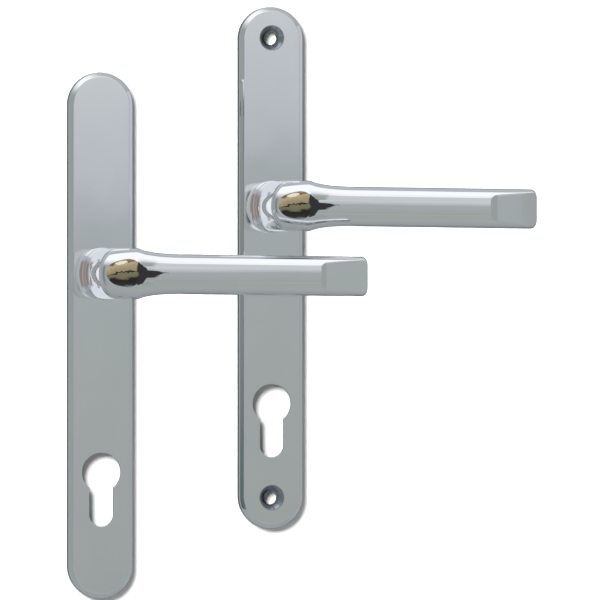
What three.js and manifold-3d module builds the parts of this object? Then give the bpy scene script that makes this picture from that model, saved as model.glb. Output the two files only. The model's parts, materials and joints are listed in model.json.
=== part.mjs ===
// A set of two lever door handles on long round-ended backplates with euro-profile cylinder
// cut-outs: the inside half, which the fixing screws pass through, and the outside half, which
// hides them behind its face and takes them in two threaded lugs.
//
// Millimetres. +Z is up the plates, -Y is towards the person who holds the lever, and +X is the
// way both levers point. The origin is the inside half's spindle axis on the back plane of its
// plate. The outside half stands beside it, nearer by the length of its lugs, so that both
// halves touch the plane Y = 0 and each lever swings clear of the other half.
//
// Every half is modelled about its own spindle axis: y = 0 is the back of its plate and
// y = -PLATE_T is the face.

import * as THREE from "three";
import { ParametricGeometry } from "three/addons/geometries/ParametricGeometry.js";
import { mergeVertices } from "three/addons/utils/BufferGeometryUtils.js";
import Module from "manifold-3d";

const wasm = await Module();
wasm.setup();

// ---- driving dimensions ----

const GAP = 0.3; // between pieces that touch or turn on each other
const ROUND = 30; // segments of a turned piece
const SMALL_ROUND = 18;

const PLATE_L = 244;
const PLATE_W = 30.3;
const PLATE_T = 6.8;
const PLATE_BEVEL = 2;
const FACE_WALL = 1.7;
const SIDE_WALL = 2;
const FIXING_INSET = 14.5; // fixing screw to the nearer end of the plate
const FIXING_PITCH = 215;
const CYLINDER_BELOW_SPINDLE = 92;
const PLATE_TOP = 93.5; // above the spindle axis

const FACE_Y = -PLATE_T;
const POCKET_Y = FACE_Y + FACE_WALL;
const POCKET_R = PLATE_W / 2 - SIDE_WALL;
const UPPER_FIXING_Z = PLATE_TOP - FIXING_INSET;
const LOWER_FIXING_Z = UPPER_FIXING_Z - FIXING_PITCH;

const CYLINDER_R = 9.1; // the round part of the euro profile, with clearance
const CYLINDER_SLOT_W = 11.3;
const CYLINDER_BOTTOM = 25.1; // below the cylinder's axis

const FIXING_HOLE_R = 3.3;
const COUNTERSINK_R = 5.6;
const FIXING_BOSS_R = 6.2;

const SPIGOT_R = 7.2; // the lever's tail, which turns in the plate
const SPIGOT_FLAT = 6.2; // half the width across its two flats
const SPINDLE_SQ = 8.2;
const SOCKET_DEPTH = 30;
const BUSH_WALL = 1.2;
const BUSH_FLANGE_R = 11.2;
const BUSH_FLANGE_T = 0.5;

// The lever's line seen from above, in x and in height above the plate's face.
const FOOT_R = 12.1;
const FOOT_RIM = 1.1;
const NECK_X = 8.9;
const ELBOW_CORNER_R = 4;
const ELBOW_CORNER_TURN = THREE.MathUtils.degToRad(65);
const CAP_R = 34; // the low dome on the front of the elbow
const CAP_TOP = 49.5;
const CAP_PAST_TOP = THREE.MathUtils.degToRad(8);
const SADDLE_R = 40;
const ARM_BACK = 34.7;
const INNER_FILLET_R = 3;
const ARM_END = 116.5; // spindle axis to tip
const TIP_R = 2.2;

// Half sizes and roundness of its sections.
const NECK_Z = 11.7;
const ARM_Z = 9.2;
const NECK_POWER = 2;
const ARM_POWER = 2.4;
const ARM_DROOP = 0.012; // how far the arm sinks for each millimetre from the spindle axis

const THUMB_START = 94.2; // the flat at the tip starts here
const THUMB_STEP = 1.35; // drops this much at once
const THUMB_DROP = 2.8; // and is this deep at the tip

const WIRE_R = 0.45;
const COIL_R = 9.6;
const COIL_PITCH = 1.05;
const COIL_FRONT_Y = POCKET_Y + 0.65;
const LEG_R = 12.7; // reach of the two spring legs
const LEG_ANGLE = THREE.MathUtils.degToRad(14.5); // each leg from straight up

const FOLLOWER_FRONT_Y = -1.8;
const FOLLOWER_BACK_Y = -1.05;
const FOLLOWER_R = 10;
const TANG_IN = 10.6;
const TANG_OUT = 11.6;
const TANG_HALF_W = 2;
const STOP_HALF_W = 1.9;

const COVER_HALF_W = 12.3;
const COVER_HALF_H = 23.5;
const COVER_FRONT_Y = -0.75;
const COVER_BACK_Y = -0.25;
const COVER_POST_Z = 19.5;

const LUG_R = 4;
const LUG_SHANK_R = 3;
const LUG_LENGTH = 18; // behind the back of the outside plate
const LUG_BORE_R = 2.3;

const GRUB_R = 2.35;
const GRUB_Y = FACE_Y - 9;

const OUTSIDE_AT = new THREE.Vector3(-84.2, -LUG_LENGTH, -31.5);

// ---- materials ----

function metal(name, color, roughness) {
  return new THREE.MeshStandardMaterial({ name, color, roughness, metalness: 1 });
}
const chrome = metal("chrome", 0xc9ced2, 0.08);
const zinc = metal("zinc_plate", 0xa9adb0, 0.4);
const springSteel = metal("spring_steel", 0x84878a, 0.3);
const nylon = new THREE.MeshStandardMaterial({
  name: "nylon",
  color: 0xe9e7e0,
  roughness: 0.6,
  metalness: 0,
});

// ---- solids ----

// A closed geometry as a solid: only positions are kept, and faces that have collapsed are left out.
function solid(geometry) {
  const bare = geometry.index ? geometry.toNonIndexed() : geometry.clone();
  bare.deleteAttribute("normal");
  bare.deleteAttribute("uv");
  const merged = mergeVertices(bare, 1e-4);
  const triVerts = [];
  for (let i = 0; i < merged.index.count; i += 3) {
    const [a, b, c] = [0, 1, 2].map((k) => merged.index.getX(i + k));
    if (a !== b && b !== c && c !== a) triVerts.push(a, b, c);
  }
  return new wasm.Manifold(
    new wasm.Mesh({
      numProp: 3,
      vertProperties: merged.attributes.position.array,
      triVerts: new Uint32Array(triVerts),
    }),
  );
}

function geometryOf(made) {
  const mesh = made.getMesh();
  return new THREE.BufferGeometry()
    .setAttribute("position", new THREE.BufferAttribute(mesh.vertProperties, 3))
    .setIndex(new THREE.BufferAttribute(mesh.triVerts, 1));
}

function named(name, material, made) {
  const mesh = new THREE.Mesh(geometryOf(made), material);
  mesh.name = name;
  return mesh;
}

const join = (first, ...rest) => rest.reduce((sum, part) => sum.add(part), first);
const cut = (first, ...rest) => rest.reduce((sum, part) => sum.subtract(part), first);

// An outline drawn in x and z, filled from back y to front y, which is the smaller of the two.
function slab(shape, backY, frontY, options = {}) {
  const geometry = new THREE.ExtrudeGeometry(shape, {
    depth: backY - frontY,
    bevelEnabled: false,
    curveSegments: 11,
    ...options,
  });
  return solid(geometry.rotateX(Math.PI / 2).translate(0, backY, 0));
}

function block(x0, x1, y0, y1, z0, z1) {
  const box = new THREE.BoxGeometry(x1 - x0, y1 - y0, z1 - z0);
  return solid(box.translate((x0 + x1) / 2, (y0 + y1) / 2, (z0 + z1) / 2));
}

// A turned piece about a line along y. Its profile is [radius, y] from the low end of the axis up.
function turned(profile, z = 0, segments = ROUND) {
  const points = profile.map(([r, y]) => new THREE.Vector2(r, y));
  return solid(new THREE.LatheGeometry(points, segments).translate(0, 0, z));
}

const rod = (r, frontY, backY, z = 0, segments = SMALL_ROUND) =>
  turned([[0, frontY], [r, frontY], [r, backY], [0, backY]], z, segments);

const ring = (inner, outer, frontY, backY, segments = ROUND) =>
  turned(
    [[inner, frontY], [outer, frontY], [outer, backY], [inner, backY], [inner, frontY]],
    0,
    segments,
  );

// ---- outlines ----

// A round-ended plate outline, smaller all round by inset.
function plateOutline(inset) {
  const r = PLATE_W / 2 - inset;
  const top = PLATE_TOP - PLATE_W / 2;
  const bottom = PLATE_TOP - PLATE_L + PLATE_W / 2;
  const shape = new THREE.Shape();
  shape.absarc(0, top, r, 0, Math.PI);
  shape.absarc(0, bottom, r, Math.PI, 2 * Math.PI);
  shape.closePath();
  return shape;
}

// The euro profile about its cylinder's axis: a circle with a round-ended slot below it.
function euroProfile(grow = 0) {
  const r = CYLINDER_R + grow;
  const half = CYLINDER_SLOT_W / 2 + grow;
  const join = Math.asin(half / r);
  const down = -Math.PI / 2;
  const bottom = half - CYLINDER_BOTTOM - grow;
  const shape = new THREE.Shape();
  shape.absarc(0, -CYLINDER_BELOW_SPINDLE, r, down + join, down - join + 2 * Math.PI);
  shape.absarc(0, bottom - CYLINDER_BELOW_SPINDLE, half, Math.PI, 2 * Math.PI);
  shape.closePath();
  return shape;
}

// A circle with two flats, as the end of the spigot and the follower's hole.
function doubleFlat(grow) {
  const r = SPIGOT_R + grow;
  const flat = SPIGOT_FLAT + grow;
  const edge = Math.acos(flat / r);
  const shape = new THREE.Shape();
  shape.absarc(0, 0, r, edge, Math.PI - edge);
  shape.absarc(0, 0, r, Math.PI + edge, 2 * Math.PI - edge);
  shape.closePath();
  return shape;
}

function roundedBox(halfW, halfH, r) {
  const shape = new THREE.Shape();
  const [w, h] = [halfW - r, halfH - r];
  shape.absarc(w, h, r, 0, Math.PI / 2);
  shape.absarc(-w, h, r, Math.PI / 2, Math.PI);
  shape.absarc(-w, -h, r, Math.PI, 1.5 * Math.PI);
  shape.absarc(w, -h, r, 1.5 * Math.PI, 2 * Math.PI);
  shape.closePath();
  return shape;
}

// ---- the backplate ----

function plateShell() {
  const straight = PLATE_T - PLATE_BEVEL;
  const outer = slab(plateOutline(0), 0, -straight, {
    bevelEnabled: true,
    bevelThickness: PLATE_BEVEL,
    bevelSize: PLATE_BEVEL,
    bevelOffset: -PLATE_BEVEL,
    bevelSegments: 1,
  });
  const behind = block(-PLATE_W, PLATE_W, 0, PLATE_BEVEL * 2, -PLATE_L, PLATE_L);
  return cut(outer, behind, slab(plateOutline(SIDE_WALL), 1, POCKET_Y));
}

function stiffeningRib(z) {
  const halfT = 0.8;
  const half = POCKET_R + 0.5;
  return block(-half, half, POCKET_Y - 0.5, -2, z - halfT, z + halfT);
}

// The casting's stops: a post that holds the spring's legs, and two pads that the follower's tail meets.
function stops() {
  const root = POCKET_Y - 0.5;
  const pads = [-1, 1].map((side) => {
    const [near, far] = [10.1 * side, (POCKET_R + 0.5) * side];
    return block(Math.min(near, far), Math.max(near, far), root, -1.2, -5.7, -2.8);
  });
  const post = block(-STOP_HALF_W, STOP_HALF_W, root, -1.4, TANG_OUT + GAP, 13.4);
  return [post, ...pads];
}

function backplate(hasLugs) {
  const boss = (z) => rod(FIXING_BOSS_R, POCKET_Y - 0.5, 0, z);
  const coverPost = (z) => rod(3.2, POCKET_Y - 0.5, COVER_FRONT_Y - GAP, z);
  const body = join(
    plateShell(),
    ...[52, 32, -38, -66, -123].map(stiffeningRib),
    ...stops(),
    boss(UPPER_FIXING_Z),
    boss(LOWER_FIXING_Z),
    coverPost(COVER_POST_Z),
    coverPost(-COVER_POST_Z),
  );
  const countersunk = (z) =>
    turned(
      [
        [0, FACE_Y - 1],
        [COUNTERSINK_R + 1, FACE_Y - 1],
        [FIXING_HOLE_R, FACE_Y + COUNTERSINK_R - FIXING_HOLE_R],
        [FIXING_HOLE_R, 1],
        [0, 1],
      ],
      z,
      28,
    );
  const lugSocket = (z) => rod(LUG_SHANK_R + GAP, POCKET_Y, 1, z);
  const fixing = hasLugs ? lugSocket : countersunk;
  const bushR = SPIGOT_R + 0.2 + BUSH_WALL + 0.2;
  return cut(
    body,
    rod(bushR, FACE_Y - 1, 1, 0, ROUND),
    rod(BUSH_FLANGE_R + GAP, FACE_Y - 1, FACE_Y + BUSH_FLANGE_T + GAP, 0, ROUND),
    slab(euroProfile(), 1, FACE_Y - 1, { curveSegments: 10 }),
    fixing(UPPER_FIXING_Z),
    fixing(LOWER_FIXING_Z),
    coverScrewForm(COVER_POST_Z, 0.25),
    coverScrewForm(-COVER_POST_Z, 0.25),
  );
}

// ---- the lever ----

const signedPower = (value, power) => Math.sign(value) * Math.abs(value) ** power;

// The outer line of the lever seen from above: up the neck, over the elbow and along the arm.
function outerLine() {
  const flare = FOOT_R - NECK_X;
  const left = Math.PI;
  const cornerEnd = left - ELBOW_CORNER_TURN;
  const capEnd = Math.PI / 2 - CAP_PAST_TOP;
  const capToCorner = CAP_R - ELBOW_CORNER_R;
  const cornerX = ELBOW_CORNER_R - NECK_X;
  const capX = cornerX - capToCorner * Math.cos(cornerEnd);
  const capH = CAP_TOP - CAP_R;
  const cornerH = capH + capToCorner * Math.sin(cornerEnd);
  const saddleX = capX + (CAP_R + SADDLE_R) * Math.cos(capEnd);
  const saddleH = capH + (CAP_R + SADDLE_R) * Math.sin(capEnd);
  const line = new THREE.Path();
  line.moveTo(-FOOT_R, GAP);
  line.lineTo(-FOOT_R, FOOT_RIM);
  line.absarc(-FOOT_R, FOOT_RIM + flare, flare, -Math.PI / 2, 0);
  line.lineTo(-NECK_X, 20);
  line.absarc(cornerX, cornerH, ELBOW_CORNER_R, left, cornerEnd, true);
  line.absarc(capX, capH, CAP_R, cornerEnd, capEnd, true);
  line.absarc(saddleX, saddleH, SADDLE_R, capEnd - Math.PI, -Math.PI / 2);
  return line;
}

// Where the section through a point of the outer line meets the lever's other side.
function innerPoint(outer) {
  const corner = new THREE.Vector2(NECK_X + INNER_FILLET_R, ARM_BACK - INNER_FILLET_R);
  if (outer.x >= corner.x) return new THREE.Vector2(outer.x, ARM_BACK);
  if (outer.y <= corner.y) return new THREE.Vector2(-outer.x, outer.y);
  return outer.clone().sub(corner).setLength(INNER_FILLET_R).add(corner);
}

// Half height and roundness of the section at x: the neck narrows into the arm.
function sectionAt(x) {
  const pastNeck = Math.max(0, (x - 7) / 8.5);
  const neckShare = Math.exp(-1 * pastNeck ** 1.6);
  return {
    halfZ: THREE.MathUtils.lerp(ARM_Z, NECK_Z, neckShare),
    power: THREE.MathUtils.lerp(ARM_POWER, NECK_POWER, neckShare),
  };
}

function neckAndElbowStations() {
  return outerLine()
    .getPoints(4)
    .map((outer) => {
      const inner = innerPoint(outer);
      const foot = Math.max(0, -outer.x - NECK_X) / (FOOT_R - NECK_X);
      const { halfZ, power } = sectionAt(outer.x);
      return { outer, inner, power, halfZ: halfZ + foot * (FOOT_R - NECK_Z) };
    });
}

function armStations() {
  const front = outerLine().getPoint(1).y;
  const along = [24, 32, 46, 64, 82, 100].map((x) => ({ x, corner: 0 }));
  for (const turn of [0, 30, 55, 75, 90]) {
    const angle = THREE.MathUtils.degToRad(turn);
    const x = ARM_END - TIP_R * (1 - Math.sin(angle));
    along.push({ x, corner: TIP_R * (1 - Math.cos(angle)) });
  }
  return along.map(({ x, corner }) => {
    const { halfZ, power } = sectionAt(x);
    const edge = corner * 0.5;
    return {
      outer: new THREE.Vector2(x, front - edge),
      inner: new THREE.Vector2(x, ARM_BACK + edge),
      halfZ: halfZ - corner,
      power,
    };
  });
}

// A closed skin through the stations, each a rounded section between an outer and an inner point.
function leverSkin() {
  const stations = [...neckAndElbowStations(), ...armStations()];
  const last = stations.length - 1;
  const surface = (u, v, target) => {
    const row = Math.round(u * (last + 2)) - 1;
    const { outer, inner, halfZ, power } = stations[THREE.MathUtils.clamp(row, 0, last)];
    const scale = row < 0 || row > last ? 0 : 1;
    const turn = 2 * Math.PI * (v % 1);
    const across = scale * signedPower(Math.cos(turn), 2 / power);
    const up = scale * signedPower(Math.sin(turn), 2 / power);
    const at = inner.clone().lerp(outer, 0.5 + 0.5 * across);
    const sink = ARM_DROOP * Math.max(0, at.x - NECK_X);
    target.set(at.x, FACE_Y - at.y, halfZ * up - sink);
  };
  return solid(new ParametricGeometry(surface, last + 2, ROUND));
}

// What is cut off the front of the arm to leave the thumb flat: a short run-in and a slow slope.
function thumbFlat() {
  const front = outerLine().getPoint(1).y;
  const past = ARM_END + 2;
  const shape = new THREE.Shape();
  shape.moveTo(THUMB_START, FACE_Y - front);
  shape.quadraticCurveTo(
    THUMB_START + 1.2,
    FACE_Y - front + THUMB_STEP * 0.9,
    THUMB_START + 3.4,
    FACE_Y - front + THUMB_STEP,
  );
  shape.lineTo(past, FACE_Y - front + THUMB_DROP);
  shape.lineTo(past, FACE_Y - front - 5);
  shape.lineTo(THUMB_START, FACE_Y - front - 5);
  shape.closePath();
  const depth = 3 * ARM_Z;
  const options = { depth, bevelEnabled: false, curveSegments: 5 };
  return solid(new THREE.ExtrudeGeometry(shape, options).translate(0, 0, -depth / 2));
}

function spigot() {
  const shoulder = FOLLOWER_FRONT_Y - 0.15;
  return cut(
    join(
      rod(SPIGOT_R, FACE_Y - 3, shoulder, 0, ROUND),
      slab(doubleFlat(0), -0.05, shoulder - 0.1, { curveSegments: 8 }),
    ),
    ring(SPIGOT_R - 0.8, SPIGOT_R + 2, FOLLOWER_BACK_Y + 0.1, -0.35),
  );
}

function lever() {
  const half = SPINDLE_SQ / 2;
  const socket = block(-half, half, -SOCKET_DEPTH, 1, -half, half);
  const grubHole = solid(
    new THREE.CylinderGeometry(GRUB_R + GAP, GRUB_R + GAP, NECK_Z + 1, SMALL_ROUND)
      .rotateX(Math.PI / 2)
      .translate(0, GRUB_Y, -(NECK_Z + 1) / 2 - 1),
  );
  return cut(join(leverSkin(), spigot()), thumbFlat(), socket, grubHole);
}

function grubScrew() {
  const [tip, end] = [-SPINDLE_SQ / 2 - 0.5, -NECK_Z + 1.2];
  const body = new THREE.CylinderGeometry(GRUB_R, GRUB_R, tip - end, SMALL_ROUND);
  const keyHole = new THREE.CylinderGeometry(1.4, 1.4, 3, 6);
  const placed = (geometry, z) => solid(geometry.rotateX(Math.PI / 2).translate(0, GRUB_Y, z));
  return cut(placed(body, (tip + end) / 2), placed(keyHole, end));
}

// ---- the spring cassette behind the plate ----

function bearingBush() {
  const inner = SPIGOT_R + 0.2;
  const outer = inner + BUSH_WALL;
  const front = FACE_Y + 0.1;
  return turned([
    [inner, front],
    [BUSH_FLANGE_R, front],
    [BUSH_FLANGE_R, front + BUSH_FLANGE_T],
    [outer, front + BUSH_FLANGE_T],
    [outer, POCKET_Y + 0.1],
    [inner, POCKET_Y + 0.1],
    [inner, front],
  ]);
}

const springSleeve = () =>
  ring(SPIGOT_R + 0.2, COIL_R - WIRE_R - GAP, POCKET_Y + GAP, FOLLOWER_FRONT_Y - GAP);

// A torsion spring whose two legs point up, one on each side of the stop post and the tang.
class SpringLine extends THREE.Curve {
  getPoint(t, target = new THREE.Vector3()) {
    const sweep = 4 * Math.PI - 2 * LEG_ANGLE;
    const legShare = 0.05;
    const along = THREE.MathUtils.clamp((t - legShare) / (1 - 2 * legShare), 0, 1);
    const end = Math.max(legShare - t, t - (1 - legShare), 0) / legShare;
    const turn = Math.PI / 2 + LEG_ANGLE + sweep * along;
    const r = COIL_R + (LEG_R - COIL_R) * end;
    const y = COIL_FRONT_Y + (COIL_PITCH * sweep * along) / (2 * Math.PI);
    return target.set(r * Math.cos(turn), y, r * Math.sin(turn));
  }
}

function returnSpring() {
  const section = new THREE.Shape().absarc(0, 0, WIRE_R, 0, 2 * Math.PI);
  return solid(
    new THREE.ExtrudeGeometry(section, {
      steps: 46,
      curveSegments: 4,
      bevelEnabled: false,
      extrudePath: new SpringLine(),
    }),
  );
}

// The plate on the spigot's flats: its tang winds the spring, and its tail meets the casting's pads.
function follower() {
  const [front, back] = [FOLLOWER_FRONT_Y, FOLLOWER_BACK_Y];
  const w = TANG_HALF_W;
  return cut(
    join(
      rod(FOLLOWER_R, front, back, 0, ROUND),
      block(-w, w, front, back, FOLLOWER_R - 2, TANG_OUT),
      block(-w, w, COIL_FRONT_Y - WIRE_R + 0.3, back, TANG_IN, TANG_OUT),
      block(-3, 3, front, back, -12.4, 2 - FOLLOWER_R),
    ),
    slab(doubleFlat(0.15), 0, front - 1, { curveSegments: 8 }),
  );
}

function circlip() {
  const [front, back] = [FOLLOWER_BACK_Y + 0.15, -0.4];
  const [inner, outer, ear] = [SPIGOT_R - 0.6, SPIGOT_R + 1, 1.25];
  const open = THREE.MathUtils.degToRad(24);
  const down = -Math.PI / 2;
  const shape = new THREE.Shape();
  shape.absarc(0, 0, outer, down + open, down - open + 2 * Math.PI);
  shape.absarc(0, 0, inner, down - open + 2 * Math.PI, down + open, true);
  shape.closePath();
  const post = (side, r, y0, y1) => {
    const turn = down + side * open;
    const at = new THREE.Vector2(Math.cos(turn), Math.sin(turn)).multiplyScalar(outer - 0.5);
    const part = new THREE.CylinderGeometry(r, r, y1 - y0, 10);
    return solid(part.translate(at.x, (y0 + y1) / 2, at.y));
  };
  return cut(
    join(
      slab(shape, back, front, { curveSegments: 12 }),
      post(-1, ear, front, back),
      post(1, ear, front, back),
    ),
    ring(1, inner, front - 1, back + 1, 24),
    post(-1, 0.5, front - 1, back + 1),
    post(1, 0.5, front - 1, back + 1),
  );
}

// A flat-headed screw flush with the back of the cover, larger all round by grow.
function coverScrewForm(z, grow) {
  const [shank, head] = [1.2 + grow, 2.3 + grow];
  const tip = POCKET_Y + 1.3 - grow;
  const back = grow > 0 ? COVER_BACK_Y + 1 : COVER_BACK_Y;
  return turned(
    [[0, tip], [shank, tip], [shank, -1.35], [head, COVER_BACK_Y], [head, back], [0, back]],
    z,
    12,
  );
}

function coverScrew(z) {
  const slot = block(-3, 3, COVER_BACK_Y - 0.4, 1, z - 0.35, z + 0.35);
  return cut(coverScrewForm(z, 0), slot);
}

function springCover() {
  const [front, back] = [COVER_FRONT_Y, COVER_BACK_Y];
  const tangWindow = slab(roundedBox(5.5, 2.4, 1), back + 1, front - 1, { curveSegments: 3 });
  return cut(
    slab(roundedBox(COVER_HALF_W, COVER_HALF_H, 5), back, front, { curveSegments: 5 }),
    rod(9.2, front - 1, back + 1, 0, ROUND),
    tangWindow.translate([0, 0, 12.6]),
    coverScrewForm(COVER_POST_Z, 0.25),
    coverScrewForm(-COVER_POST_Z, 0.25),
  );
}

// A threaded lug of the outside half: its shank sits in the plate's boss, and its barrel enters the door.
function lug(z) {
  const shank = rod(LUG_SHANK_R, POCKET_Y + 0.4, 1, z, 24);
  const barrel = rod(LUG_R, GAP, LUG_LENGTH, z, 24);
  return cut(join(shank, barrel), rod(LUG_BORE_R, 3, LUG_LENGTH + 1, z, 16));
}

// ---- assembly ----

function handleHalf(side, hasLugs, at) {
  const half = new THREE.Group();
  half.position.copy(at);
  half.add(
    named(side + "_backplate", chrome, backplate(hasLugs)),
    named(side + "_lever", chrome, lever()),
    named(side + "_grub_screw", zinc, grubScrew()),
    named(side + "_bearing_bush", nylon, bearingBush()),
    named(side + "_spring_sleeve", nylon, springSleeve()),
    named(side + "_return_spring", springSteel, returnSpring()),
    named(side + "_follower", zinc, follower()),
    named(side + "_circlip", springSteel, circlip()),
    named(side + "_spring_cover", zinc, springCover()),
    named(side + "_cover_screw_upper", zinc, coverScrew(COVER_POST_Z)),
    named(side + "_cover_screw_lower", zinc, coverScrew(-COVER_POST_Z)),
  );
  if (hasLugs) {
    half.add(
      named(side + "_lug_upper", zinc, lug(UPPER_FIXING_Z)),
      named(side + "_lug_lower", zinc, lug(LOWER_FIXING_Z)),
    );
  }
  return half;
}

const handleSet = new THREE.Group();
handleSet.add(
  handleHalf("inside", false, new THREE.Vector3()),
  handleHalf("outside", true, OUTSIDE_AT),
);

export default handleSet;
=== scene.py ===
# A pair of lever door handles on long round-ended backplates, standing side by side: the outside
# half in front on the left, and the inside half, with its screw holes, behind it on the right.
#
# Lengths in this file are millimetres until a mesh is made. Every half is built about its own
# spindle axis: y = 0 is the back of its plate and y = FACE_Y is the plate's face.

import json
import math

import bmesh
import bpy
from mathutils import Matrix, Vector
from mathutils.geometry import delaunay_2d_cdt

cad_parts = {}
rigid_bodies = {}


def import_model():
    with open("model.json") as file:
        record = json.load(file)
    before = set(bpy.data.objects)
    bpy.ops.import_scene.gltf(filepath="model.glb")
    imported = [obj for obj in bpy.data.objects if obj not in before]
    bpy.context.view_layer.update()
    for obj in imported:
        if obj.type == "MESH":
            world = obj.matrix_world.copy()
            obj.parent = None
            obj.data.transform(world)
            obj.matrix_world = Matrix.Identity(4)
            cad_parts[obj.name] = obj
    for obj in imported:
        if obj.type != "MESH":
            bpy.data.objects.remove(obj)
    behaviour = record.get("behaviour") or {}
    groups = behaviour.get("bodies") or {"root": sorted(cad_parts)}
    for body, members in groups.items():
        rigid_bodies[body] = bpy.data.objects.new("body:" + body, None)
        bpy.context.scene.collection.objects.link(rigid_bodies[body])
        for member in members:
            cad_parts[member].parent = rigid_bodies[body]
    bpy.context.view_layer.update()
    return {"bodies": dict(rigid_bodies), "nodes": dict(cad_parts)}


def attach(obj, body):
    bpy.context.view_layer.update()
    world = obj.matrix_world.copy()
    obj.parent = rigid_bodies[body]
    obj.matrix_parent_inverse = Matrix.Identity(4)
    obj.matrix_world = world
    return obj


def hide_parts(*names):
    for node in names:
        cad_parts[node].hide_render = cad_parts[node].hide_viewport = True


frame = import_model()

MM = 0.001
TURN = 2 * math.pi
SHARP_EDGE = math.radians(32)
SPLIT_EDGE = math.radians(30)
HALVES = {
    "inside": Vector((0, 0, 0)),
    "outside": Vector((-84.2, -18, -31.5)),
}

# ---- camera ----

CAMERA_AZIMUTH = math.radians(-11.5)
CAMERA_DISTANCE = 4000
CAMERA_TARGET = Vector((8.7, -30, -43.6))
FRAME_WIDTH = 279.1
SENSOR_WIDTH = 36

towards_camera = Vector((math.sin(CAMERA_AZIMUTH), -math.cos(CAMERA_AZIMUTH), 0))
lens = bpy.data.cameras.new("camera")
lens.sensor_width = SENSOR_WIDTH
lens.lens = SENSOR_WIDTH * CAMERA_DISTANCE / FRAME_WIDTH
lens.clip_start = 0.05
lens.clip_end = 60
camera = bpy.data.objects.new("camera", lens)
camera.location = (CAMERA_TARGET + towards_camera * CAMERA_DISTANCE) * MM
camera.rotation_euler = towards_camera.to_track_quat("Z", "Y").to_euler()
bpy.context.scene.collection.objects.link(camera)
bpy.context.scene.camera = camera
bpy.context.scene.view_settings.view_transform = "Standard"

# ---- dimensions shared with the solid model ----

PLATE_TOP = 93.5
PLATE_L = 244
PLATE_W = 30.3
FACE_Y = -6.8
POCKET_Y = -5.1
UPPER_FIXING_Z = 79
LOWER_FIXING_Z = -136
CYLINDER_Z = -92
CYLINDER_R = 9.1
CYLINDER_SLOT_HALF = 5.65
CYLINDER_BOTTOM = 25.1
COVER_POST_Z = 19.5
RIBS = [52, 32, -38, -66, -123]
RIB_HALF_L = 13.5  # the ribs and the stop pads run a little way into the side walls
ROOT_Y = -5.4  # and into the floor of the pocket

FOOT_R = 12.1
NECK_X = 8.9
NECK_Z = 11.7
ARM_Z = 9.2
ARM_BACK = 34.7
ARM_END = 116.5
TIP_R = 2.2
INNER_FILLET_R = 3
THUMB_START = 94.2
THUMB_STEP = 1.35
THUMB_DROP = 2.8
THUMB_RUN_IN = 3.4
THUMB_RUN_IN_BEND = 1.2
THUMB_BEND_SHARE = 0.9  # of the step, at the bend


# ---- meshes ----


class Skin:
    """A closed mesh made of rings of points, the bands between them, and flat fills."""

    def __init__(self):
        self.points = []
        self.faces = []
        self.slots = []

    def ring(self, points):
        first = len(self.points)
        self.points.extend(Vector(p) for p in points)
        return list(range(first, len(self.points)))

    def face(self, corners, slot):
        self.faces.append(corners)
        self.slots.append(slot)

    def band(self, a, b, slot=0):
        n = len(a)
        for i in range(n):
            j = (i + 1) % n
            self.face((a[i], a[j], b[j], b[i]), slot)

    def tube(self, outline, path, slot=0):
        """Rings of outline(grow) along a path of (grow, y), joined by bands."""
        rings = [self.ring((x, y, z) for x, z in outline(grow)) for grow, y in path]
        for a, b in zip(rings, rings[1:]):
            self.band(a, b, slot)
        return rings[0], rings[-1]

    def close(self, ring, slot=0):
        """A fan from the middle of a ring."""
        middle = sum((self.points[i] for i in ring), Vector()) / len(ring)
        hub = self.ring([middle])[0]
        n = len(ring)
        for i in range(n):
            self.face((ring[i], ring[(i + 1) % n], hub), slot)

    def fill(self, rings, slot=0):
        """Flat faces at one y between an outer ring and the rings of its holes."""
        loops = [[self.points[i].xz for i in ring] for ring in rings]
        flat = [point for loop in loops for point in loop]
        corners = [i for ring in rings for i in ring]
        edges = []
        start = 0
        for loop in loops:
            n = len(loop)
            edges += [(start + i, start + (i + 1) % n) for i in range(n)]
            start += n
        made = delaunay_2d_cdt(flat, edges, [], 1, 1e-5)
        source = [corners[ids[0]] for ids in made[3]]
        for triangle in made[2]:
            middle = sum((made[0][i] for i in triangle), Vector((0, 0))) / 3
            if not any(inside(middle, loop) for loop in loops[1:]):
                self.face(tuple(source[i] for i in triangle), slot)

    def block(self, x, y, z, radius, slot=0, corner=0.4):
        """A box with rounded edges on its high y side, from (low, high) along each axis."""
        middle = ((x[0] + x[1]) / 2, (z[0] + z[1]) / 2)
        half = ((x[1] - x[0]) / 2, (z[1] - z[0]) / 2)
        outline = rounded_box(middle, half, corner)
        path = rounded([(0, y[0]), (0, y[1], radius), (-2.2 * radius, y[1])])
        low, high = self.tube(outline, path, slot)
        self.close(low, slot)
        self.close(high, slot)

    def mesh(self, name, materials, matrix=None):
        mesh = bpy.data.meshes.new(name)
        matrix = matrix or Matrix.Identity(4)
        mesh.from_pydata([(matrix @ p) * MM for p in self.points], [], self.faces)
        for material in materials:
            mesh.materials.append(material)
        for polygon, slot in zip(mesh.polygons, self.slots):
            polygon.material_index = slot
            polygon.use_smooth = True
        solid = bmesh.new()
        solid.from_mesh(mesh)
        bmesh.ops.recalc_face_normals(solid, faces=solid.faces)
        if solid.calc_volume(signed=True) < 0:
            bmesh.ops.reverse_faces(solid, faces=solid.faces)
        for edge in solid.edges:
            edge.smooth = edge.calc_face_angle(0) < SHARP_EDGE
        solid.to_mesh(mesh)
        solid.free()
        return mesh


def inside(point, loop):
    """True if a flat point lies within a closed loop."""
    odd = False
    for a, b in zip(loop, loop[1:] + loop[:1]):
        if (a.y > point.y) != (b.y > point.y):
            if point.x < a.x + (point.y - a.y) * (b.x - a.x) / (b.y - a.y):
                odd = not odd
    return odd


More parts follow.
